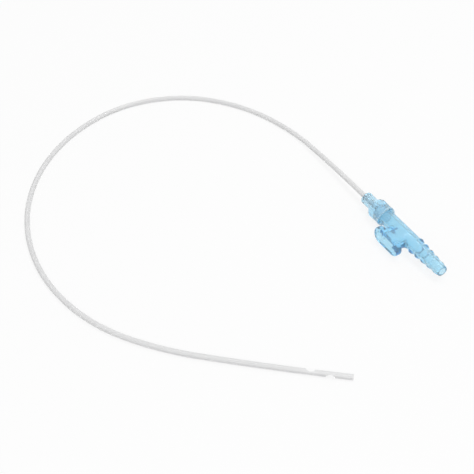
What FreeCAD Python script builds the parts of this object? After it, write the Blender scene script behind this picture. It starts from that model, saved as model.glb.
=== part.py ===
import FreeCAD, Part
import math
import os

import Sketcher

# Suction catheter, 8 Fr, lying in a loop on a flat surface, in millimetres, +Z up.
# Three pieces: a soft tube with two side eyes, the ribbed funnel that it is bonded into, and the
# fingertip control that plugs into the funnel: a barrel with a thumb port and a hose barb.
# The origin is on the surface, under the middle of the funnel and the fingertip control.
# +X points out of the hose barb, and the thumb port faces -Y.

DRIVING_SIZES = [
    ("tube_od", 2.7, "outer diameter of the tube, 8 Fr"),
    ("tube_id", 1.7, "lumen of the tube"),
    ("tube_seat", 10.0, "length of tube bonded inside the funnel"),
    ("eye_length", 4.4, "side eye, along the tube"),
    ("eye_depth", 1.2, "side eye, into the tube"),
    ("near_eye", 10.0, "tip of the tube to the middle of the near eye"),
    ("far_eye", 19.0, "tip of the tube to the middle of the far eye"),
    ("eye_roll", 40.0, "degrees that the near eye faces below the level"),
    ("neck_od", 6.7, "funnel neck"),
    ("neck_length", 6.2, "funnel neck, straight part"),
    ("shoulder_length", 3.2, "shoulder between neck and grip"),
    ("grip_od", 10.4, "funnel grip between its ribs"),
    ("rib_height", 0.2, "grip rib above the grip"),
    ("rib_width", 0.9, "grip rib, across"),
    ("rib_count", 18, "ribs round the grip"),
    ("groove_width", 1.0, "groove between grip and mouth bead"),
    ("groove_depth", 0.35, "groove below the grip"),
    ("bead_od", 10.8, "bead round the funnel's mouth"),
    ("bead_width", 2.2, "mouth bead, along the axis"),
    ("funnel_length", 17.6, "funnel, neck end to mouth"),
    ("funnel_edge", 0.4, "rounding of the funnel's outer edges"),
    ("insertion", 5.4, "depth that the fingertip control is pushed in"),
    ("barrel_od", 8.2, "barrel of the fingertip control"),
    ("spigot_taper", 0.25, "radius that the barrel loses over the insertion"),
    ("barrel_length", 24.8, "funnel mouth to the first ridge of the barb"),
    ("bore", 5.0, "bore through the barrel"),
    ("barb_count", 5, "ridges on the hose barb"),
    ("barb_pitch", 4.3, "ridge to ridge"),
    ("barb_rise", 1.4, "steep side of a ridge, along the axis"),
    ("barb_fall", 2.4, "long side of a ridge, along the axis"),
    ("first_ridge_od", 9.4, "largest ridge"),
    ("last_ridge_od", 6.6, "smallest ridge"),
    ("first_valley_od", 7.3, "valley after the largest ridge"),
    ("last_valley_od", 6.1, "valley before the smallest ridge"),
    ("nose_length", 3.4, "smallest ridge to the open end"),
    ("nose_od", 5.3, "open end"),
    ("nose_bore", 4.0, "bore at the open end"),
    ("port_place", 14.7, "funnel mouth to the middle of the thumb port"),
    ("port_reach", 11.6, "axis of the barrel to the face of the thumb port"),
    ("flange_length", 19.1, "flange of the port, along the barrel"),
    ("flange_height", 9.2, "flange of the port, upright"),
    ("flange_thickness", 3.4, "flange of the port"),
    ("flange_edge", 0.7, "rounding of the flange's edges"),
    ("lip", 1.2, "flat lip round the thumb dish"),
    ("dish_depth", 2.4, "thumb dish below the lip"),
    ("stem_length", 13.6, "stem of the port, along the barrel"),
    ("stem_height", 7.6, "stem of the port, upright"),
    ("stem_blend", 0.8, "rounding where the stem meets the barrel and the flange"),
    ("vent_length", 8.0, "vent hole under the thumb, along the barrel"),
    ("vent_height", 4.4, "vent hole under the thumb, upright"),
]

# The middle of the tube as it lies, from where it leaves the funnel round to its tip.
# The two ends of the first run are on the funnel's axis and come from the sizes.
LYING_ROUTE = [
    (-70.5, 4.4, 1.7),
    (-104.5, 3.7, 0),
    (-138.8, -8.3, 0),
    (-165.5, -32.8, 0),
    (-175.9, -66.8, 0),
    (-168.3, -100.7, 0),
    (-149.1, -129.6, 0),
    (-121.5, -150.8, 0),
    (-89.5, -162.5, 0),
    (-55.5, -164.3, 0),
    (-22.4, -155.1, 0),
    (5.4, -134.7, 0),
    (27.8, -109.1, 0),
    (44.5, -89.2, 0),
    (60.8, -69, 0),
]
FIRST_RUN_PAST_FUNNEL = 9.4
ARC_SHARE = 0.45

doc = FreeCAD.newDocument("suction_catheter")
sheet = doc.addObject("Spreadsheet::Sheet", "sizes")
for row, (alias, value, meaning) in enumerate(DRIVING_SIZES, start=1):
    sheet.set("A" + str(row), alias)
    sheet.set("B" + str(row), str(value))
    sheet.set("C" + str(row), meaning)
    sheet.setAlias("B" + str(row), alias)
doc.recompute()


class Size:
    """A size with its value and the formula that ties a feature to the sheet."""

    def __init__(self, value, formula):
        self.value = float(value)
        self.formula = formula

    def _joined(self, other, sign, value):
        other = as_size(other)
        return Size(value, "(" + self.formula + " " + sign + " " + other.formula + ")")

    def __add__(self, other):
        return self._joined(other, "+", self.value + as_size(other).value)

    def __sub__(self, other):
        return self._joined(other, "-", self.value - as_size(other).value)

    def __mul__(self, other):
        return self._joined(other, "*", self.value * as_size(other).value)

    def __truediv__(self, other):
        return self._joined(other, "/", self.value / as_size(other).value)

    def __neg__(self):
        return self * -1


def as_size(number):
    return number if isinstance(number, Size) else Size(number, repr(number))


def size(alias):
    return Size(sheet.get(alias), "sizes." + alias)


def smaller(first, second):
    return Size(min(first.value, second.value), "min(" + first.formula + "; " + second.formula + ")")


def count(alias):
    return int(sheet.get(alias))


def vector(x, y, z):
    return FreeCAD.Vector(as_size(x).value, as_size(y).value, as_size(z).value)


# Places that several pieces share

total_length = (size("funnel_length") + size("barrel_length")
                + size("barb_pitch") * (size("barb_count") - 1) + size("nose_length"))
neck_end_x = -total_length / 2
mouth_x = neck_end_x + size("funnel_length")
axis_y = (size("port_reach") - size("bead_od") / 2) / 2
axis_z = size("bead_od") / 2


# Building blocks

def new_body(name, x, y, z):
    body = doc.addObject("PartDesign::Body", name)
    body.Label = name
    for path, coordinate in (("x", x), ("y", y), ("z", z)):
        body.setExpression("Placement.Base." + path, as_size(coordinate).formula)
    return body


def new_sketch(body, name, role, offset=0):
    sketch = body.newObject("Sketcher::SketchObject", name)
    plane = next(item for item in body.Origin.OriginFeatures if item.Role == role)
    sketch.AttachmentSupport = [(plane, "")]
    sketch.MapMode = "FlatFace"
    sketch.setExpression("AttachmentOffset.Base.z", as_size(offset).formula)
    return sketch


def bind(sketch, kind, element, point, value):
    """Hold one point, or one radius, of a sketch to a size."""
    value = as_size(value)
    if kind == "Radius":
        constraint = Sketcher.Constraint(kind, element, value.value)
    else:
        constraint = Sketcher.Constraint(kind, -1, 1, element, point, value.value)
    index = sketch.addConstraint(constraint)
    sketch.setExpression("Constraints[" + str(index) + "]", value.formula)


def draw_outline(sketch, corners):
    """A closed outline of straight lines, each corner held by its two sizes."""
    for start, end in zip(corners, corners[1:] + corners[:1]):
        sketch.addGeometry(Part.LineSegment(vector(*start, 0), vector(*end, 0)))
    for index, (x, y) in enumerate(corners):
        before = (index - 1) % len(corners)
        sketch.addConstraint(Sketcher.Constraint("Coincident", before, 2, index, 1))
        bind(sketch, "DistanceX", index, 1, x)
        bind(sketch, "DistanceY", index, 1, y)


def draw_oblong(sketch, middle_x, length, height):
    """A slot shape: two half circles joined by two straight sides."""
    radius = as_size(height) / 2
    reach = (as_size(length) - height) / 2
    up = FreeCAD.Vector(0, 0, 1)
    right = Part.Circle(vector(middle_x + reach, 0, 0), up, radius.value)
    left = Part.Circle(vector(middle_x - reach, 0, 0), up, radius.value)
    sketch.addGeometry(Part.ArcOfCircle(right, -math.pi / 2, math.pi / 2))
    sketch.addGeometry(Part.LineSegment(vector(middle_x + reach, radius, 0),
                                        vector(middle_x - reach, radius, 0)))
    sketch.addGeometry(Part.ArcOfCircle(left, math.pi / 2, math.pi * 3 / 2))
    sketch.addGeometry(Part.LineSegment(vector(middle_x - reach, -radius, 0),
                                        vector(middle_x + reach, -radius, 0)))
    for first, second in ((0, 1), (1, 2), (2, 3), (3, 0)):
        sketch.addConstraint(Sketcher.Constraint("Tangent", first, 2, second, 1))
    for arc, middle in ((0, middle_x + reach), (2, middle_x - reach)):
        bind(sketch, "DistanceX", arc, 3, middle)
        bind(sketch, "DistanceY", arc, 3, 0)
        bind(sketch, "Radius", arc, None, radius)


def revolve(body, kind, name, corners):
    """Turn an outline, drawn as distance along the axis and radius, about the X axis."""
    sketch = new_sketch(body, name + "_outline", "XY_Plane")
    draw_outline(sketch, corners)
    feature = body.newObject("PartDesign::" + kind, name)
    feature.Profile = sketch
    feature.ReferenceAxis = (sketch, ["H_Axis"])
    feature.Angle = 360
    doc.recompute()
    return feature


def sweep_straight(body, kind, name, sketch, length):
    """Pad or pocket a sketch by a length."""
    feature = body.newObject("PartDesign::" + kind, name)
    feature.Profile = sketch
    feature.setExpression("Length", as_size(length).formula)
    doc.recompute()
    return feature


def round_edges(body, name, radius, chosen):
    """Fillet the edges of the newest feature that pass a test."""
    base = body.Tip
    names = ["Edge" + str(index) for index, edge in enumerate(base.Shape.Edges, start=1) if chosen(edge)]
    if not names:
        raise RuntimeError("no edge for " + name)
    fillet = body.newObject("PartDesign::Fillet", name)
    fillet.Base = (base, names)
    fillet.setExpression("Radius", as_size(radius).formula)
    doc.recompute()
    return fillet


def samples(edge):
    return edge.discretize(5)


def radius_at(point):
    return math.hypot(point.y, point.z)


def near(first, second, margin=0.001):
    return abs(first - second) < margin


def is_ring(edge, x, radius):
    """Whether an edge is a full circle about the X axis at a place and radius."""
    x, radius = as_size(x).value, as_size(radius).value
    return edge.Length > 6 * radius and all(
        near(point.x, x) and near(radius_at(point), radius) for point in samples(edge))


# Funnel: neck, shoulder, ribbed grip, mouth bead, and the cone that leads into the socket

funnel = new_body("funnel_connector", neck_end_x, axis_y, axis_z)
neck_r = size("neck_od") / 2
grip_r = size("grip_od") / 2
bead_r = size("bead_od") / 2
barrel_r = size("barrel_od") / 2
spigot_r = barrel_r - size("spigot_taper")
tube_r = size("tube_od") / 2
lumen_r = size("tube_id") / 2
bore_r = size("bore") / 2
grip_start = size("neck_length") + size("shoulder_length")
bead_start = size("funnel_length") - size("bead_width")
grip_end = bead_start - size("groove_width")
socket_bottom = size("funnel_length") - size("insertion")

revolve(funnel, "Revolution", "funnel_wall", [
    (0, tube_r),
    (0, neck_r),
    (size("neck_length"), neck_r),
    (grip_start, grip_r),
    (grip_end, grip_r),
    (grip_end, grip_r - size("groove_depth")),
    (bead_start, grip_r - size("groove_depth")),
    (bead_start, bead_r),
    (size("funnel_length"), bead_r),
    (size("funnel_length"), barrel_r),
    (socket_bottom, spigot_r),
    (socket_bottom, bore_r),
    (size("tube_seat"), lumen_r),
    (size("tube_seat"), tube_r),
])
round_edges(funnel, "funnel_roundings", size("funnel_edge"), lambda edge:
            is_ring(edge, 0, neck_r) or is_ring(edge, size("neck_length"), neck_r)
            or is_ring(edge, grip_start, grip_r) or is_ring(edge, bead_start, bead_r)
            or is_ring(edge, size("funnel_length"), bead_r))

rib_sketch = new_sketch(funnel, "rib_section", "YZ_Plane", grip_start)
rib_sketch.addGeometry(Part.Circle(vector(0, grip_r + size("rib_height") - size("rib_width") / 2, 0),
                                   FreeCAD.Vector(0, 0, 1), (size("rib_width") / 2).value))
bind(rib_sketch, "DistanceX", 0, 3, 0)
bind(rib_sketch, "DistanceY", 0, 3, grip_r + size("rib_height") - size("rib_width") / 2)
bind(rib_sketch, "Radius", 0, None, size("rib_width") / 2)
rib = sweep_straight(funnel, "Pad", "grip_rib", rib_sketch, grip_end - grip_start)
ribs = funnel.newObject("PartDesign::PolarPattern", "grip_ribs")
ribs.Originals = [rib]
ribs.Axis = (rib_sketch, ["N_Axis"])
ribs.Angle = 360
ribs.setExpression("Occurrences", "sizes.rib_count")
funnel.Tip = ribs
doc.recompute()

# Fingertip control: barrel, hose barb, thumb port

control = new_body("fingertip_control", mouth_x, axis_y, axis_z)
ridge_count = count("barb_count")


def stepped(first, last, index, steps):
    """A size that runs evenly from the first to the last of a row."""
    return first + (last - first) * (index / max(steps, 1))


control_outline = [(-size("insertion"), 0), (-size("insertion"), spigot_r), (0, barrel_r)]
valley_r = barrel_r
for index in range(ridge_count):
    ridge_x = size("barrel_length") + size("barb_pitch") * index
    ridge_r = stepped(size("first_ridge_od"), size("last_ridge_od"), index, ridge_count - 1) / 2
    control_outline.append((ridge_x - size("barb_rise"), valley_r))
    control_outline.append((ridge_x, ridge_r))
    valley_r = stepped(size("first_valley_od"), size("last_valley_od"), index, ridge_count - 2) / 2
    if index < ridge_count - 1:
        control_outline.append((ridge_x + size("barb_fall"), valley_r))
nose_x = size("barrel_length") + size("barb_pitch") * (ridge_count - 1) + size("nose_length")
control_outline += [(nose_x, size("nose_od") / 2), (nose_x, 0)]
revolve(control, "Revolution", "barrel_and_barb", control_outline)

port_x = size("port_place")
flange_back = size("port_reach") - size("flange_thickness")
stem_sketch = new_sketch(control, "stem_section", "XZ_Plane")
draw_oblong(stem_sketch, port_x, size("stem_length"), size("stem_height"))
sweep_straight(control, "Pad", "port_stem", stem_sketch, flange_back)
flange_sketch = new_sketch(control, "flange_section", "XZ_Plane", flange_back)
draw_oblong(flange_sketch, port_x, size("flange_length"), size("flange_height"))
sweep_straight(control, "Pad", "port_flange", flange_sketch, size("flange_thickness"))


def in_plane(edge, y):
    y = as_size(y).value
    return all(near(point.y, y) for point in samples(edge))


def oblong_distance(point, length, height):
    """How far a point lies outside an oblong about the port's axis, seen along that axis."""
    half = (size(length) - size(height)).value / 2
    beyond = max(abs(point.x - port_x.value) - half, 0)
    return math.hypot(beyond, point.z) - size(height).value / 2


def on_oblong(edge, length, height):
    return all(oblong_distance(point, length, height) > -0.001 for point in (edge.Vertexes[0].Point,
                                                                          edge.Vertexes[-1].Point))


def meets_barrel(edge):
    """Whether an edge is where the stem leaves the port's side of the barrel.

    Where a thin barrel leaves the stem wider than itself, the crease starts on the barrel's
    middle plane, and the straight edges that lie in that plane have nothing to round.
    """
    points = samples(edge)
    stem_half = size("stem_length").value / 2
    on_near_side = min(point.y for point in points) < -0.01 and max(point.y for point in points) < 0.01
    return on_near_side and all(near(radius_at(point), barrel_r.value, 0.01)
                                and abs(point.x - port_x.value) < stem_half + 0.01 for point in points)


flange_overhang = (size("flange_height") - size("stem_height")) / 2
round_edges(control, "stem_roundings", smaller(size("stem_blend"), flange_overhang * 0.5), lambda edge:
            meets_barrel(edge)
            or in_plane(edge, -flange_back) and not on_oblong(edge, "flange_length", "flange_height"))
round_edges(control, "flange_back_roundings", smaller(size("flange_edge"), flange_overhang * 0.4), lambda edge:
            in_plane(edge, -flange_back) and on_oblong(edge, "flange_length", "flange_height"))
round_edges(control, "flange_front_roundings", smaller(size("flange_edge"), size("lip") * 0.8), lambda edge:
            in_plane(edge, -size("port_reach")) and on_oblong(edge, "flange_length", "flange_height"))

revolve(control, "Groove", "through_bore", [
    (-size("insertion"), 0),
    (-size("insertion"), bore_r),
    (size("barrel_length"), bore_r),
    (nose_x, size("nose_bore") / 2),
    (nose_x, 0),
])

dish_bottom = size("port_reach") - size("dish_depth")
dish_sketch = new_sketch(control, "dish_outline", "XZ_Plane", size("port_reach"))
draw_oblong(dish_sketch, port_x, size("flange_length") - size("lip") * 2, size("flange_height") - size("lip") * 2)
dish_floor = new_sketch(control, "dish_floor", "XZ_Plane", dish_bottom)
draw_oblong(dish_floor, port_x, size("vent_length"), size("vent_height"))
dish = control.newObject("PartDesign::SubtractiveLoft", "thumb_dish")
dish.Profile = dish_sketch
dish.Sections = [dish_floor]
doc.recompute()
vent_sketch = new_sketch(control, "vent_section", "XZ_Plane", dish_bottom)
draw_oblong(vent_sketch, port_x, size("vent_length"), size("vent_height"))
sweep_straight(control, "Pocket", "vent_hole", vent_sketch, dish_bottom)
doc.recompute()


# Tube: straight runs joined by tangent arcs, a lumen, and two side eyes near the open tip

def route_points():
    funnel_end = neck_end_x.value
    height = axis_z.value
    points = [FreeCAD.Vector(funnel_end + size("tube_seat").value, axis_y.value, height),
              FreeCAD.Vector(funnel_end - FIRST_RUN_PAST_FUNNEL, axis_y.value, height)]
    points += [FreeCAD.Vector(x, y, tube_r.value + lift) for x, y, lift in LYING_ROUTE]
    return points


def rounded_path(points):
    """Straight runs joined by arcs, each as large as its two runs allow."""
    edges = []
    here = points[0]
    for before, corner, after in zip(points, points[1:], points[2:]):
        into = (corner - before).normalize()
        out = (after - corner).normalize()
        turn = math.acos(max(-1, min(1, into.dot(out))))
        trim = ARC_SHARE * min((corner - before).Length, (after - corner).Length)
        radius = trim / math.tan(turn / 2)
        print("turn %5.1f deg, radius %7.1f mm" % (math.degrees(turn), radius))
        arc_start = corner - into * trim
        arc_end = corner + out * trim
        middle_way = (out - into).normalize()
        arc_middle = corner + middle_way * (radius / math.cos(turn / 2) - radius)
        edges.append(Part.LineSegment(here, arc_start).toShape())
        edges.append(Part.Arc(arc_start, arc_middle, arc_end).toShape())
        here = arc_end
    edges.append(Part.LineSegment(here, points[-1]).toShape())
    return Part.Wire(edges)


points = route_points()
route = doc.addObject("Part::Feature", "tube_route")
route.Shape = rounded_path(points)


def swept_tube(name, radius):
    """A round bar along the route."""
    section = doc.addObject("Part::Circle", name + "_section")
    section.setExpression("Radius", radius.formula)
    section.Placement = FreeCAD.Placement(points[0], FreeCAD.Rotation(FreeCAD.Vector(0, 0, 1),
                                                                      FreeCAD.Vector(-1, 0, 0)))
    bar = doc.addObject("Part::Sweep", name)
    bar.Sections = [section]
    bar.Spine = (route, [])
    bar.Solid = True
    return bar


def eye_cutter(name, from_tip, side):
    """A drum whose rim scoops a side eye: side is 1 for the near side of the tube, -1 for the far."""
    along = (points[-1] - points[-2]).normalize()
    level = FreeCAD.Vector(along.y, -along.x, 0)
    roll = math.radians(size("eye_roll").value)
    outward = (level * math.cos(roll) - FreeCAD.Vector(0, 0, 1) * math.sin(roll)) * side
    half_eye = size("eye_length") / 2
    drum_r = (half_eye * half_eye + size("eye_depth") * size("eye_depth")) / (size("eye_depth") * 2)
    drum_height = size("tube_od") * 2
    across = along.cross(outward)
    middle = points[-1] - along * size(from_tip).value \
        + outward * (tube_r - size("eye_depth") + drum_r).value
    drum = doc.addObject("Part::Cylinder", name)
    drum.setExpression("Radius", drum_r.formula)
    drum.setExpression("Height", drum_height.formula)
    drum.Placement = FreeCAD.Placement(middle - across * (drum_height / 2).value,
                                       FreeCAD.Rotation(FreeCAD.Vector(0, 0, 1), across))
    return drum


def cut(name, base, tool):
    result = doc.addObject("Part::Cut", name)
    result.Base = base
    result.Tool = tool
    return result


hollow_tube = cut("hollow_tube", swept_tube("tube_outside", tube_r), swept_tube("tube_lumen", lumen_r))
one_eyed_tube = cut("one_eyed_tube", hollow_tube, eye_cutter("near_eye_drum", "near_eye", 1))
tube = cut("catheter_tube", one_eyed_tube, eye_cutter("far_eye_drum", "far_eye", -1))
tube.Label = "catheter_tube"
doc.recompute()

# Check every object, then write each piece

for item in doc.Objects:
    if "Invalid" in item.State or "Error" in item.State:
        raise RuntimeError(item.Name + " failed: " + str(item.State))

path_length = route.Shape.Length
print("tube path %.1f mm, of which free %.1f mm" % (path_length, path_length - size("tube_seat").value))
ring = math.pi * (tube_r.value ** 2 - lumen_r.value ** 2)
print("tube volume %.1f mm3, section x length %.1f mm3" % (hollow_tube.Shape.Volume, ring * path_length))

os.makedirs("parts", exist_ok=True)
for piece in (tube, funnel, control):
    shape = piece.Shape
    if shape.isNull() or not shape.isValid() or len(shape.Solids) != 1:
        raise RuntimeError(piece.Label + " is not one valid solid")
    shape.exportStep("parts/" + piece.Label + ".step")
    print(piece.Label, "volume %.1f mm3" % shape.Volume, shape.BoundBox)
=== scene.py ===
import bpy
import bmesh
import math
import numpy as np
from mathutils import Matrix, Vector


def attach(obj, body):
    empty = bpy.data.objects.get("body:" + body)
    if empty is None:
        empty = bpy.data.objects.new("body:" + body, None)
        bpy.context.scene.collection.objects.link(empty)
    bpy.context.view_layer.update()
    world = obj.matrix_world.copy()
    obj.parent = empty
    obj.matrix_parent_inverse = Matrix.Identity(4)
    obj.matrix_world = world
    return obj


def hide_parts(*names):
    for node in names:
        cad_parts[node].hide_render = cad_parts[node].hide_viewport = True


# Suction catheter on a white table: a clear soft tube in one loose loop, the blue funnel that it is
# bonded into, and the blue fingertip control with its thumb port and hose barb. Lengths are in
# metres, but the sections of the funnel and the control are drawn in millimetres.

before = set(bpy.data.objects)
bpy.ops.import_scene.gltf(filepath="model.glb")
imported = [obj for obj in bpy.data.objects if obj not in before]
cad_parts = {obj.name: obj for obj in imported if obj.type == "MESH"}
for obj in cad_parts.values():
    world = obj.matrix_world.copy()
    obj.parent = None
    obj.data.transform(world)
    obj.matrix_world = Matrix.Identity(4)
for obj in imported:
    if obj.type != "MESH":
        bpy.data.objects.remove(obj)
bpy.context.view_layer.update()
MM = 0.001

# Both ends of the funnel, on the connector's axis, which lies level along X
NECK_END = (-0.0315, 0.0031, 0.0054)
FUNNEL_MOUTH = (-0.0139, 0.0031, 0.0054)

# Sizes of the tube, and the middle of it as it lies, from inside the funnel round to its open tip
TUBE_OD = 2.7 * MM
TUBE_ID = 1.7 * MM
TUBE_SIDES = 28
TUBE_RING_GAP = 1.0 * MM
TUBE_ROUTE = [
    (-0.0215, 0.0031, 0.0054),
    (-0.0409, 0.0031, 0.0054),
    (-0.0705, 0.0044, 0.00305),
    (-0.1045, 0.0037, 0.00135),
    (-0.1388, -0.0083, 0.00135),
    (-0.1655, -0.0328, 0.00135),
    (-0.1759, -0.0668, 0.00135),
    (-0.1683, -0.1007, 0.00135),
    (-0.1491, -0.1296, 0.00135),
    (-0.1215, -0.1508, 0.00135),
    (-0.0895, -0.1625, 0.00135),
    (-0.0555, -0.1643, 0.00135),
    (-0.0224, -0.1551, 0.00135),
    (0.0054, -0.1347, 0.00135),
    (0.0278, -0.1091, 0.00135),
    (0.0445, -0.0892, 0.00135),
    (0.0608, -0.0690, 0.00135),
]

# Side eyes: the distance of each one's middle from the tip, with 1 for the near side of the tube or
# -1 for the far one, then their size, and how far they are rolled from level
EYES = [(10.0 * MM, 1), (19.0 * MM, -1)]
EYE_LENGTH = 4.4 * MM
EYE_DEPTH = 1.2 * MM
EYE_ROLL = math.radians(40)

# Colours: each plastic where it looks palest and where it looks deepest, the tint inside the blue
# plastic, and the table
CLEAR_PALE, CLEAR_DEEP = (0.90, 0.90, 0.90, 1), (0.86, 0.86, 0.865, 1)
SOFT_BLUE_PALE, SOFT_BLUE_DEEP = (0.86, 0.95, 1.0, 1), (0.79, 0.93, 1.0, 1)
HARD_BLUE_PALE, HARD_BLUE_DEEP = (0.79, 0.94, 1.0, 1), (0.69, 0.91, 1.0, 1)
BLUE_INSIDE = (0.0, 0.72, 0.99, 1)
TABLE_COLOUR = (0.84, 0.84, 0.84, 1)
WHITE = (1, 1, 1, 1)

# Light from the room: on the object, as the camera sees it, and as gloss and clear plastic see it
# at the table's level and overhead. Then the share of plain white in the table as it is seen.
ROOM_LIGHT, ROOM_SEEN = 0.68, 1.0
GLOSS_LOW, GLOSS_HIGH = 0.42, 1.02
TABLE_WHITENESS = 0.85


class Sock:
    """A shader socket that joins Math nodes when it is used in an expression."""

    def __init__(self, board, socket):
        self.board = board
        self.socket = socket

    def maths(self, operation, first, second):
        return self.board.node("ShaderNodeMath", {"operation": operation}, {0: first, 1: second})

    def __add__(self, value):
        return self.maths("ADD", self, value)

    def __radd__(self, value):
        return self.maths("ADD", value, self)

    def __sub__(self, value):
        return self.maths("SUBTRACT", self, value)

    def __rsub__(self, value):
        return self.maths("SUBTRACT", value, self)

    def __mul__(self, value):
        return self.maths("MULTIPLY", self, value)

    def __rmul__(self, value):
        return self.maths("MULTIPLY", value, self)

    def __truediv__(self, value):
        return self.maths("DIVIDE", self, value)

    def __rtruediv__(self, value):
        return self.maths("DIVIDE", value, self)

    def __pow__(self, value):
        return self.maths("POWER", self, value)

    def __rpow__(self, value):
        return self.maths("POWER", value, self)

    def larger(self, value):
        return self.maths("MAXIMUM", self, value)

    def beside(self, output):
        """Another output of the same node."""
        return Sock(self.board, self.socket.node.outputs[output])


class Board:
    """A node tree, with one way to add a node to it."""

    def __init__(self, tree):
        self.tree = tree
        tree.nodes.clear()

    def node(self, kind, settings=None, values=None, output=0):
        """Add a node: its settings first, then the values and links of its inputs."""
        new = self.tree.nodes.new(kind)
        for name, value in (settings or {}).items():
            setattr(new, name, value)
        for name, value in (values or {}).items():
            if isinstance(value, Sock):
                self.tree.links.new(value.socket, new.inputs[name])
            else:
                new.inputs[name].default_value = value
        return Sock(self, new.outputs[output]) if new.outputs else None

    def clamped(self, value):
        """The value held between 0 and 1."""
        return self.node("ShaderNodeClamp", values={"Value": value})

    def blend(self, factor, first, second):
        """A colour between two others, which are inputs 6 and 7 of a Mix node set to colour."""
        return self.node("ShaderNodeMix", {"data_type": "RGBA"}, {0: factor, 6: first, 7: second}, output=2)

    def noise(self, size, stretch=(1, 1, 1)):
        """Soft noise on the piece, whose lumps are about one size across."""
        spot = self.node("ShaderNodeTexCoord", output="Object")
        place = self.node("ShaderNodeMapping", values={"Vector": spot, "Scale": stretch})
        return self.node("ShaderNodeTexNoise", values={"Vector": place, "Scale": 1.0 / size, "Detail": 2.0})

    def viewed(self):
        """Two masks: what the camera sees straight, and what it sees by way of gloss or clear plastic."""
        straight = self.node("ShaderNodeLightPath", output="Is Camera Ray")
        return straight, straight.beside("Is Glossy Ray").larger(straight.beside("Is Transmission Ray"))


def new_material(name):
    material = bpy.data.materials.new(name)
    material.use_nodes = True
    return material, Board(material.node_tree)


def blue_plastic(name, pale, deep, roughness, depth):
    """Clear tinted plastic with faint flow marks. Its depth, in tint for each mm, makes thick parts bluer."""
    material, board = new_material(name)
    flow = board.noise(5 * MM, stretch=(0.3, 1, 1))
    surface = board.node("ShaderNodeBsdfPrincipled", values={
        "Base Color": board.blend(flow, pale, deep), "Roughness": roughness + 0.06 * flow,
        "Transmission Weight": 0.86, "IOR": 1.36})
    tint = board.node("ShaderNodeVolumeAbsorption", values={"Color": BLUE_INSIDE, "Density": depth / MM})
    board.node("ShaderNodeOutputMaterial", values={"Surface": surface, "Volume": tint})
    return material


def clear_plastic(name):
    """Clear soft tubing: colourless, milky in places, with a dull gloss."""
    material, board = new_material(name)
    milk = board.noise(8 * MM)
    surface = board.node("ShaderNodeBsdfPrincipled", values={
        "Base Color": board.blend(milk, CLEAR_PALE, CLEAR_DEEP), "Roughness": 0.30 + 0.06 * milk,
        "Transmission Weight": 0.25, "IOR": 1.40})
    board.node("ShaderNodeOutputMaterial", values={"Surface": surface})
    return material


def table_white(name):
    """A matt white table that the camera, gloss and clear plastic see close to pure white."""
    material, board = new_material(name)
    straight, through = board.viewed()
    matt = board.node("ShaderNodeBsdfDiffuse", values={"Color": TABLE_COLOUR})
    white = board.node("ShaderNodeEmission", values={"Color": WHITE, "Strength": 1.0})
    share = TABLE_WHITENESS * straight.larger(through)
    surface = board.node("ShaderNodeMixShader", values={0: share, 1: matt, 2: white})
    board.node("ShaderNodeOutputMaterial", values={"Surface": surface})
    return material


def pale_room(name):
    """A white room that gloss and clear plastic see dimmer towards the floor, which draws their edges."""
    world = bpy.data.worlds.new(name)
    world.use_nodes = True
    board = Board(world.node_tree)
    straight, through = board.viewed()
    way = board.node("ShaderNodeTexCoord", output="Generated")
    height = board.node("ShaderNodeSeparateXYZ", values={"Vector": way}, output="Z")
    ceiling = board.clamped(height * 3.0)
    in_gloss = (GLOSS_HIGH - GLOSS_LOW) * ceiling + (GLOSS_LOW - ROOM_LIGHT)
    strength = ROOM_LIGHT + (ROOM_SEEN - ROOM_LIGHT) * straight + through * in_gloss
    light = board.node("ShaderNodeBackground", values={"Color": WHITE, "Strength": strength})
    board.node("ShaderNodeOutputWorld", values={"Surface": light})
    return world


def placed(name, data):
    """An object in the scene for a mesh, a curve, a lamp or a camera."""
    thing = bpy.data.objects.new(name, data)
    bpy.context.scene.collection.objects.link(thing)
    return thing


def smoothed(thing):
    for face in thing.data.polygons:
        face.use_smooth = True


def mesh_object(name, points, faces, material):
    mesh = bpy.data.meshes.new(name)
    mesh.from_pydata([tuple(p) for p in points], [], faces)
    mesh.materials.append(material)
    mesh.validate()
    return placed(name, mesh)


def plain_mesh(thing):
    """Apply an object's modifiers to its mesh."""
    bpy.context.view_layer.update()
    graph = bpy.context.evaluated_depsgraph_get()
    mesh = bpy.data.meshes.new_from_object(thing.evaluated_get(graph))
    thing.modifiers.clear()
    thing.data = mesh


def tube_line():
    """The middle of the tube: a smooth spline that the route's points steer."""
    curve = bpy.data.curves.new("tube_line", "CURVE")
    curve.dimensions = "3D"
    curve.resolution_u = 24
    spline = curve.splines.new("NURBS")
    spline.points.add(len(TUBE_ROUTE) - 1)
    for point, place in zip(spline.points, TUBE_ROUTE):
        point.co = (*place, 1)
    spline.order_u = 3
    spline.use_endpoint_u = True
    holder = placed("tube_line", curve)
    bpy.context.view_layer.update()
    mesh = bpy.data.meshes.new_from_object(holder.evaluated_get(bpy.context.evaluated_depsgraph_get()))
    line = np.array([vertex.co[:] for vertex in mesh.vertices])
    bpy.data.objects.remove(holder)
    return line


def evenly(line, step):
    """The same line with its points about one step apart."""
    gaps = np.linalg.norm(np.diff(line, axis=0), axis=1)
    reach = np.concatenate([[0], np.cumsum(gaps)])
    wanted = np.linspace(0, reach[-1], max(2, int(round(reach[-1] / step)) + 1))
    return np.stack([np.interp(wanted, reach, line[:, axis]) for axis in range(3)], 1)


def side_frames(line):
    """For each place on the line: a level way to its side, and the way up that is square to both."""
    along = np.gradient(line, axis=0)
    along /= np.linalg.norm(along, axis=1)[:, None]
    side = np.cross(along, (0, 0, 1))
    side /= np.linalg.norm(side, axis=1)[:, None]
    return side, np.cross(side, along)


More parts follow.
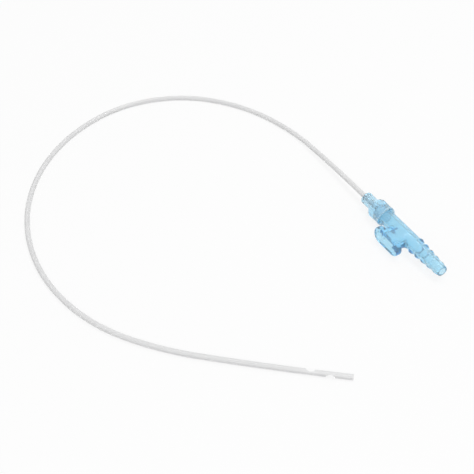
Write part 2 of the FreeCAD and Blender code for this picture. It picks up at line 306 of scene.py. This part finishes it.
def hollow_tube(name, line, outer, inner, around, material):
    """A tube with a lumen: an outer wall, an inner wall and a flat ring at each end."""
    side, up = side_frames(line)
    turns = np.linspace(0, 2 * math.pi, around, endpoint=False)
    points = []
    faces = []
    for radius in (outer, inner):
        for place, s, u in zip(line, side, up):
            points += [place + radius * (math.cos(t) * s + math.sin(t) * u) for t in turns]
    rings = len(line)
    start = rings * around
    for ring in range(rings - 1):
        for k in range(around):
            a = ring * around + k
            b = ring * around + (k + 1) % around
            faces.append((a, a + around, b + around, b))
            faces.append((start + a, start + b, start + b + around, start + a + around))
    for k in range(around):
        b = (k + 1) % around
        last = (rings - 1) * around
        faces.append((k, b, start + b, start + k))
        faces.append((last + k, start + last + k, start + last + b, last + b))
    return mesh_object(name, points, faces, material)


def eye_drum(line, from_tip, side):
    """The round drum whose rim scoops one side eye out of the tube."""
    way = Vector(line[-1] - line[-2]).normalized()
    level = Vector((way.y, -way.x, 0))
    outward = (level * math.cos(EYE_ROLL) - Vector((0, 0, math.sin(EYE_ROLL)))) * side
    drum_r = (EYE_LENGTH ** 2 / 4 + EYE_DEPTH ** 2) / (2 * EYE_DEPTH)
    across = way.cross(outward)
    middle = Vector(line[-1]) - way * from_tip + outward * (TUBE_OD / 2 - EYE_DEPTH + drum_r)
    turn = across.to_track_quat("Z", "Y").to_matrix().to_4x4()
    drum = bpy.data.meshes.new("eye_drum")
    shape = bmesh.new()
    bmesh.ops.create_cone(shape, cap_ends=True, segments=96, radius1=drum_r, radius2=drum_r,
                          depth=TUBE_OD * 2)
    bmesh.ops.transform(shape, matrix=Matrix.Translation(middle) @ turn, verts=shape.verts)
    shape.to_mesh(drum)
    shape.free()
    return placed("eye_drum", drum)


clear = clear_plastic("clear_soft_tubing")
soft_blue = blue_plastic("blue_soft_moulding", SOFT_BLUE_PALE, SOFT_BLUE_DEEP, roughness=0.15, depth=0.07)
hard_blue = blue_plastic("blue_hard_moulding", HARD_BLUE_PALE, HARD_BLUE_DEEP, roughness=0.12, depth=0.11)

# The tube, with its side eyes scooped out

line = evenly(tube_line(), TUBE_RING_GAP)
tube = hollow_tube("soft_tube", line, TUBE_OD / 2, TUBE_ID / 2, TUBE_SIDES, clear)
for from_tip, side in EYES:
    drum = eye_drum(line, from_tip, side)
    scoop = tube.modifiers.new("eye", "BOOLEAN")
    scoop.operation = "DIFFERENCE"
    scoop.solver = "EXACT"
    scoop.object = drum
    plain_mesh(tube)
    bpy.data.objects.remove(drum)
smoothed(tube)
tube.data.set_sharp_from_angle(angle=math.radians(40))
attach(tube, "root")
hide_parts("catheter_tube")


# A corner's curve: its points, and the largest share of a side that it may take up
CORNER_STEPS = 6
CORNER_SHARE = 0.45


def eased(corners, radius, piece=0.0):
    """A closed outline with each corner turned into a small curve, and long sides cut into pieces."""
    corners = [np.array(corner, float) for corner in corners]
    out = []
    for before, corner, after in zip(corners[-1:] + corners[:-1], corners, corners[1:] + corners[:1]):
        back, on = before - corner, after - corner
        cut_back = min(radius, CORNER_SHARE * np.linalg.norm(back))
        cut_on = min(radius, CORNER_SHARE * np.linalg.norm(on))
        start = corner + back / np.linalg.norm(back) * cut_back
        end = corner + on / np.linalg.norm(on) * cut_on
        if piece and out:
            last = out[-1]
            steps = int(np.linalg.norm(start - last) // piece)
            out += [last + (start - last) * k / (steps + 1) for k in range(1, steps + 1)]
        out += [(1 - t) ** 2 * start + 2 * t * (1 - t) * corner + t * t * end
                for t in np.linspace(0, 1, CORNER_STEPS)]
    return np.array(out)


# The funnel: its section is turned about the axis, and grip ribs rise from it

# Places along the axis, from the neck's end to the mouth, and radii, in millimetres
NECK_LENGTH, NECK_R = 6.2, 3.35
GRIP_START, GRIP_END, GRIP_R = 9.4, 14.4, 5.2
GROOVE_R = 4.85
BEAD_START, BEAD_R = 15.4, 5.4
FUNNEL_LENGTH = 17.6
SOCKET_MOUTH_R, SOCKET_FLOOR_R, SOCKET_FLOOR = 4.13, 3.88, 12.17
STEP_R = 2.5
TUBE_STOP, TUBE_STOP_R, TUBE_SEAT_R = 10.03, 0.85, 1.38
FUNNEL_EASE, FUNNEL_PIECE = 0.45, 0.35
FUNNEL_SECTION = [
    (0, TUBE_SEAT_R), (0, NECK_R), (NECK_LENGTH, NECK_R), (GRIP_START, GRIP_R), (GRIP_END, GRIP_R),
    (GRIP_END, GROOVE_R), (BEAD_START, GROOVE_R), (BEAD_START, BEAD_R), (FUNNEL_LENGTH, BEAD_R),
    (FUNNEL_LENGTH, SOCKET_MOUTH_R), (SOCKET_FLOOR, SOCKET_FLOOR_R), (SOCKET_FLOOR, STEP_R),
    (TUBE_STOP, TUBE_STOP_R), (TUBE_STOP, TUBE_SEAT_R)]

# The section is swept round a circle of the turn's radius, and the ribs fade out over the fade's
# length at both ends of the grip and under its radius
TURN_RADIUS = 10 * MM
FUNNEL_TURN = {
    "Turn steps": 144, "Turn radius": TURN_RADIUS, "Rib count": 18, "Rib height": 0.2 * MM,
    "Grip start": 8.0 * MM, "Grip end": 14.2 * MM, "Grip radius": 5.0 * MM, "Fade": 1.2 * MM}


def turned_funnel_tree():
    """Geometry nodes that turn a section about the axis and raise ribs along its grip."""
    tree = bpy.data.node_groups.new("turned_funnel", "GeometryNodeTree")
    sockets = tree.interface
    sockets.new_socket("Section", in_out="INPUT", socket_type="NodeSocketGeometry")
    for name, value in FUNNEL_TURN.items():
        kind = "NodeSocketInt" if isinstance(value, int) else "NodeSocketFloat"
        sockets.new_socket(name, in_out="INPUT", socket_type=kind).default_value = value
    sockets.new_socket("Material", in_out="INPUT", socket_type="NodeSocketMaterial")
    sockets.new_socket("Mesh", in_out="OUTPUT", socket_type="NodeSocketGeometry")
    board = Board(tree)
    size = board.node("NodeGroupInput", output="Turn steps")

    # The section lies beside the turn's path, so that one turn of it closes the funnel
    path = board.node("GeometryNodeCurvePrimitiveCircle", {"mode": "RADIUS"},
                      {"Resolution": size, "Radius": size.beside("Turn radius")})
    section = board.node("GeometryNodeMeshToCurve", values={"Mesh": size.beside("Section")})
    turned = board.node("GeometryNodeCurveToMesh", values={"Curve": path, "Profile Curve": section})

    # Ribs: waves round the axis, only on the grip's outside
    spot = board.node("GeometryNodeInputPosition")
    x = board.node("ShaderNodeSeparateXYZ", values={"Vector": spot}, output="X")
    y, z = x.beside("Y"), x.beside("Z")
    angle = board.node("ShaderNodeMath", {"operation": "ARCTAN2"}, {0: y, 1: x})
    wave = board.node("ShaderNodeMath", {"operation": "COSINE"}, {0: angle * size.beside("Rib count")})
    crest = (wave * 0.5 + 0.5) ** 2
    reach = (x * x + y * y) ** 0.5
    fade = size.beside("Fade")
    outside = board.clamped((reach - size.beside("Grip radius")) / fade + 1)
    past_start = board.clamped((z - size.beside("Grip start")) / fade)
    before_end = board.clamped((size.beside("Grip end") - z) / fade)
    rise = crest * outside * (past_start * before_end) * size.beside("Rib height")
    outward = board.node("ShaderNodeCombineXYZ", values={"X": x / reach * rise, "Y": y / reach * rise})
    ribbed = board.node("GeometryNodeSetPosition", values={"Geometry": turned, "Offset": outward})
    smooth = board.node("GeometryNodeSetShadeSmooth", values={"Geometry": ribbed})
    real = board.node("GeometryNodeRealizeInstances", values={"Geometry": smooth})
    dressed = board.node("GeometryNodeSetMaterial", values={
        "Geometry": real, "Material": size.beside("Material")})
    board.node("NodeGroupOutput", values={"Mesh": dressed})
    return tree


def turned_funnel(name, material):
    """The funnel as a plain mesh, with its axis on Z and its neck's end at the origin."""
    section = eased(FUNNEL_SECTION, FUNNEL_EASE, FUNNEL_PIECE) * MM
    places = [(r - TURN_RADIUS, -x, 0) for x, r in section]
    mesh = bpy.data.meshes.new(name)
    mesh.from_pydata(places, [(k, (k + 1) % len(places)) for k in range(len(places))], [])
    thing = placed(name, mesh)
    turn = thing.modifiers.new("turn", "NODES")
    turn.node_group = turned_funnel_tree()
    wanted = {**FUNNEL_TURN, "Material": material}
    for item in turn.node_group.interface.items_tree:
        if item.item_type == "SOCKET" and item.name in wanted:
            turn[item.identifier] = wanted[item.name]
    plain_mesh(thing)
    thing.data.flip_normals()
    return thing


# The control: its form is a field of distances from the wall, in millimetres, and a mesh is laid over it

# Places along the axis, from the funnel's mouth to the open end, and radii, in millimetres
INSERTION = 5.4
SPIGOT_R = 3.85
BARREL_R = 4.1
BORE_R = 2.5
RIDGES = 5
FIRST_RIDGE, RIDGE_PITCH, RIDGE_RISE, RIDGE_FALL = 24.8, 4.3, 1.4, 2.4
OPEN_END, OPEN_END_R, OPEN_END_BORE_R = 45.4, 2.65, 2.0
RIDGE_RADII = [4.7 - 0.35 * k for k in range(RIDGES)]
VALLEY_RADII = [3.65 - 0.2 * k for k in range(RIDGES - 1)]
UNDER_AXIS = -6  # the outlines close here, out of reach on the axis's other side
BARREL_EASE, BORE_EASE = 0.35, 0.2

# The port: its middle along the axis, its reach from the axis, the length and height of each of its
# oblongs, and how softly each form meets the next
PORT_PLACE = 14.7
PORT_REACH = 11.6
STEM, STEM_EASE = (13.6, 7.6), 1.6
FLANGE, FLANGE_EASE = (19.1, 9.2), 0.9
FLANGE_THICKNESS, FLANGE_EDGE = 3.4, 0.9
DISH_RIM, DISH_FLOOR, DISH_EASE = (14.8, 5.1), (12.4, 4.4), 0.5
DISH_DEPTH, LIP_EASE = 1.7, 0.5
VENT, VENT_EASE = (8.0, 4.4), 0.4

# The chart of distances, and the box that the net is laid in, with the widths of their cells
CHART_START, CHART_END, CHART_REACH, CHART_CELL = -7, 47.5, 13.5, 0.05
NET_LOW, NET_HIGH, NET_CELL = (-6.1, -12.2, -5.4), (46.1, 5.4, 5.4), 0.23


def barrel_corners():
    """The outside of the spigot, the barrel and the barb."""
    corners = [(-INSERTION, UNDER_AXIS), (-INSERTION, SPIGOT_R), (0, BARREL_R)]
    valleys = [BARREL_R] + VALLEY_RADII
    for k, ridge_r in enumerate(RIDGE_RADII):
        ridge = FIRST_RIDGE + RIDGE_PITCH * k
        corners += [(ridge - RIDGE_RISE, valleys[k]), (ridge, ridge_r)]
        if k < RIDGES - 1:
            corners.append((ridge + RIDGE_FALL, valleys[k + 1]))
    return corners + [(OPEN_END, OPEN_END_R), (OPEN_END, UNDER_AXIS)]


def bore_corners():
    """The bore, which narrows along the barb and goes on past both ends of the control."""
    past_spigot, past_end = -8, 48
    return [(past_spigot, UNDER_AXIS), (past_spigot, BORE_R), (FIRST_RIDGE, BORE_R),
            (OPEN_END, OPEN_END_BORE_R), (past_end, OPEN_END_BORE_R), (past_end, UNDER_AXIS)]


def soft_least(first, second, ease):
    """The smaller of two fields, with the corner between them eased."""
    near = np.maximum(ease - np.abs(first - second), 0) / ease
    return np.minimum(first, second) - near * near * ease / 4


def soft_most(first, second, ease):
    """The larger of two fields, eased the same way."""
    return -soft_least(-first, -second, ease)


def oblong(x, z, length, height):
    """Distance from a flat oblong with round ends."""
    return np.hypot(np.maximum(np.abs(x) - (length - height) / 2, 0), z) - height / 2


def outline_chart(corners, ease):
    """Distances from a closed outline, worked out once on a fine grid of (along, radius)."""
    along = np.arange(CHART_START, CHART_END, CHART_CELL)
    radius = np.arange(0, CHART_REACH, CHART_CELL)
    x, r = np.meshgrid(along, radius, indexing="ij")
    points = eased(corners, ease)
    best = np.full(x.shape, np.inf)
    inside = np.zeros(x.shape, bool)
    for (ax, ar), (bx, br) in zip(points, np.roll(points, -1, 0)):
        dx, dr = bx - ax, br - ar
        t = np.clip(((x - ax) * dx + (r - ar) * dr) / (dx * dx + dr * dr), 0, 1)
        best = np.minimum(best, np.hypot(x - ax - t * dx, r - ar - t * dr))
        if ar != br:
            inside ^= ((ar > r) != (br > r)) & (x < ax + dx * (r - ar) / dr)
    return np.where(inside, -best, best)


def look_up(chart, x, r):
    """The chart's distance at any place, blended from the four values round it."""
    i = np.clip((x - CHART_START) / CHART_CELL, 0, chart.shape[0] - 1.001)
    j = np.clip(r / CHART_CELL, 0, chart.shape[1] - 1.001)
    a, b = i.astype(int), j.astype(int)
    u, v = i - a, j - b
    return ((chart[a, b] * (1 - v) + chart[a, b + 1] * v) * (1 - u)
            + (chart[a + 1, b] * (1 - v) + chart[a + 1, b + 1] * v) * u)


BARREL_CHART = outline_chart(barrel_corners(), BARREL_EASE)
BORE_CHART = outline_chart(bore_corners(), BORE_EASE)


def control_field(x, y, z):
    """Distance from the control's wall: below zero in the plastic, above zero in the air."""
    r = np.hypot(y, z)
    side_x = x - PORT_PLACE
    depth = y + PORT_REACH

    # Solid forms: barrel, then the stem blended on to it, then the flange
    body = look_up(BARREL_CHART, x, r)
    stem = np.maximum(oblong(side_x, z, *STEM), np.maximum(y, FLANGE_THICKNESS / 2 - depth))
    body = soft_least(body, stem, STEM_EASE)
    wide = oblong(side_x, z, *FLANGE) + FLANGE_EDGE
    thick = np.abs(depth - FLANGE_THICKNESS / 2) - FLANGE_THICKNESS / 2 + FLANGE_EDGE
    past_edge = np.hypot(np.maximum(wide, 0), np.maximum(thick, 0))
    flange = np.minimum(np.maximum(wide, thick), 0) + past_edge - FLANGE_EDGE
    body = soft_least(body, flange, FLANGE_EASE)

    # Hollow forms: bore, thumb dish and the vent that joins them. The dish's wall slopes from its rim
    # to its floor, and goes on a little way in front of the rim.
    share = np.clip(depth / DISH_DEPTH, -0.5, 1)
    length, height = [rim + (floor - rim) * share for rim, floor in zip(DISH_RIM, DISH_FLOOR)]
    dish = soft_most(oblong(side_x, z, length, height), depth - DISH_DEPTH, DISH_EASE)
    vent = np.maximum(oblong(side_x, z, *VENT), y)
    hollow = soft_least(look_up(BORE_CHART, x, r), vent, VENT_EASE)
    hollow = soft_least(hollow, dish, DISH_EASE)
    return soft_most(body, -hollow, LIP_EASE)


def laid_over(field, low, high, cell):
    """A net of quads over the surface where a field is zero, with a corner in each cell that it crosses."""
    axes = [np.arange(a, b + cell, cell) for a, b in zip(low, high)]
    values = field(*np.meshgrid(*axes, indexing="ij"))
    cells = [n - 1 for n in values.shape]
    total = np.zeros(cells + [3])
    hits = np.zeros(cells)
    crossings = []
    for axis in range(3):
        first = np.take(values, range(cells[axis]), axis)
        second = np.take(values, range(1, cells[axis] + 1), axis)
        crossed = (first < 0) != (second < 0)
        spot = np.stack(np.meshgrid(*[np.arange(n, dtype=float) for n in crossed.shape], indexing="ij"), -1)
        spot[..., axis] += np.where(crossed, first / np.where(crossed, first - second, 1), 0)
        others = [k for k in range(3) if k != axis]
        for one, two in ((0, 0), (0, 1), (1, 0), (1, 1)):
            window = [slice(None)] * 3
            window[others[0]] = slice(one, cells[others[0]] + one)
            window[others[1]] = slice(two, cells[others[1]] + two)
            hit = crossed[tuple(window)]
            total += np.where(hit[..., None], spot[tuple(window)], 0)
            hits += hit
        crossings.append((axis, others, crossed, first))
    number = -np.ones(hits.shape, int)
    number[hits > 0] = np.arange(np.count_nonzero(hits))
    points = total[hits > 0] / hits[hits > 0][:, None] * cell + np.array(low)
    faces = []
    for axis, others, crossed, first in crossings:
        place = np.argwhere(crossed)
        one, two = np.zeros(3, int), np.zeros(3, int)
        one[others[0]] = two[others[1]] = 1
        ring = np.stack([number[tuple((place - step).T)] for step in (one + two, two, 0 * one, one)], 1)
        turned = (first[crossed] < 0) != (axis == 1)
        faces.append(np.where(turned[:, None], ring, ring[:, ::-1]))
    return points, np.concatenate(faces)


def evened(points, faces, field, cell):
    """The net with its corners spread out evenly, and each brought back to where the field is zero."""
    gap, flattest = 0.01, 0.2
    for _ in range(4):
        summed, count = np.zeros_like(points), np.zeros(len(points))
        for k in range(4):
            np.add.at(summed, faces[:, k], points[faces[:, k - 1]] + points[faces[:, (k + 1) % 4]])
            np.add.at(count, faces[:, k], 2)
        points = 0.5 * points + 0.5 * summed / count[:, None]
        for _ in range(2):
            slope = np.stack([(field(*(points + step).T) - field(*(points - step).T)) / (2 * gap)
                              for step in np.eye(3) * gap], 1)
            move = field(*points.T) / np.maximum((slope ** 2).sum(1), flattest)
            points = points - np.clip(move, -cell, cell)[:, None] * slope
    return points


funnel = turned_funnel("ribbed_funnel", soft_blue)
funnel.data.transform(Matrix.Translation(NECK_END) @ Matrix.Rotation(math.radians(90), 4, "Y"))
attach(funnel, "root")
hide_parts("funnel_connector")

points, faces = laid_over(control_field, NET_LOW, NET_HIGH, NET_CELL)
points = evened(points, faces, control_field, NET_CELL) * MM + np.array(FUNNEL_MOUTH)
control = mesh_object("thumb_control", points, faces.tolist(), hard_blue)
smoothed(control)
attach(control, "root")
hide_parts("fingertip_control")

# Table, lamps and camera

TABLE_CORNERS = [(-4, -4, 0), (4, -4, 0), (4, 4, 0), (-4, 4, 0)]
CAMERA_PLACE, CAMERA_TARGET = (0.26843, -0.24703, 0.336), (-0.04403, -0.06761, 0)


def aimed(thing, place, target):
    """Put a lamp or a camera at a place and turn it to its target."""
    thing.location = place
    thing.rotation_euler = (Vector(target) - thing.location).to_track_quat("-Z", "Y").to_euler()


def soft_lamp(name, place, target, width, height, watts):
    lamp = bpy.data.lights.new(name, "AREA")
    lamp.shape = "RECTANGLE"
    lamp.size = width
    lamp.size_y = height
    lamp.energy = watts
    aimed(placed(name, lamp), place, target)


table = mesh_object("table", TABLE_CORNERS, [(0, 1, 2, 3)], table_white("white_table"))
bpy.context.scene.world = pale_room("pale_room")
soft_lamp("overhead", (-0.05, 0.20, 0.9), (-0.05, -0.08, 0), width=0.7, height=0.22, watts=3.0)
soft_lamp("side", (0.5, -0.5, 0.5), (0, -0.05, 0), width=0.3, height=0.2, watts=1.0)

camera = bpy.data.cameras.new("photo_view")
camera.sensor_width = 36
camera.lens = 73.67
camera.clip_start = 0.01
view = placed("photo_view", camera)
aimed(view, CAMERA_PLACE, CAMERA_TARGET)
bpy.context.scene.camera = view
bpy.context.scene.view_settings.view_transform = "Standard"

bpy.context.view_layer.update()
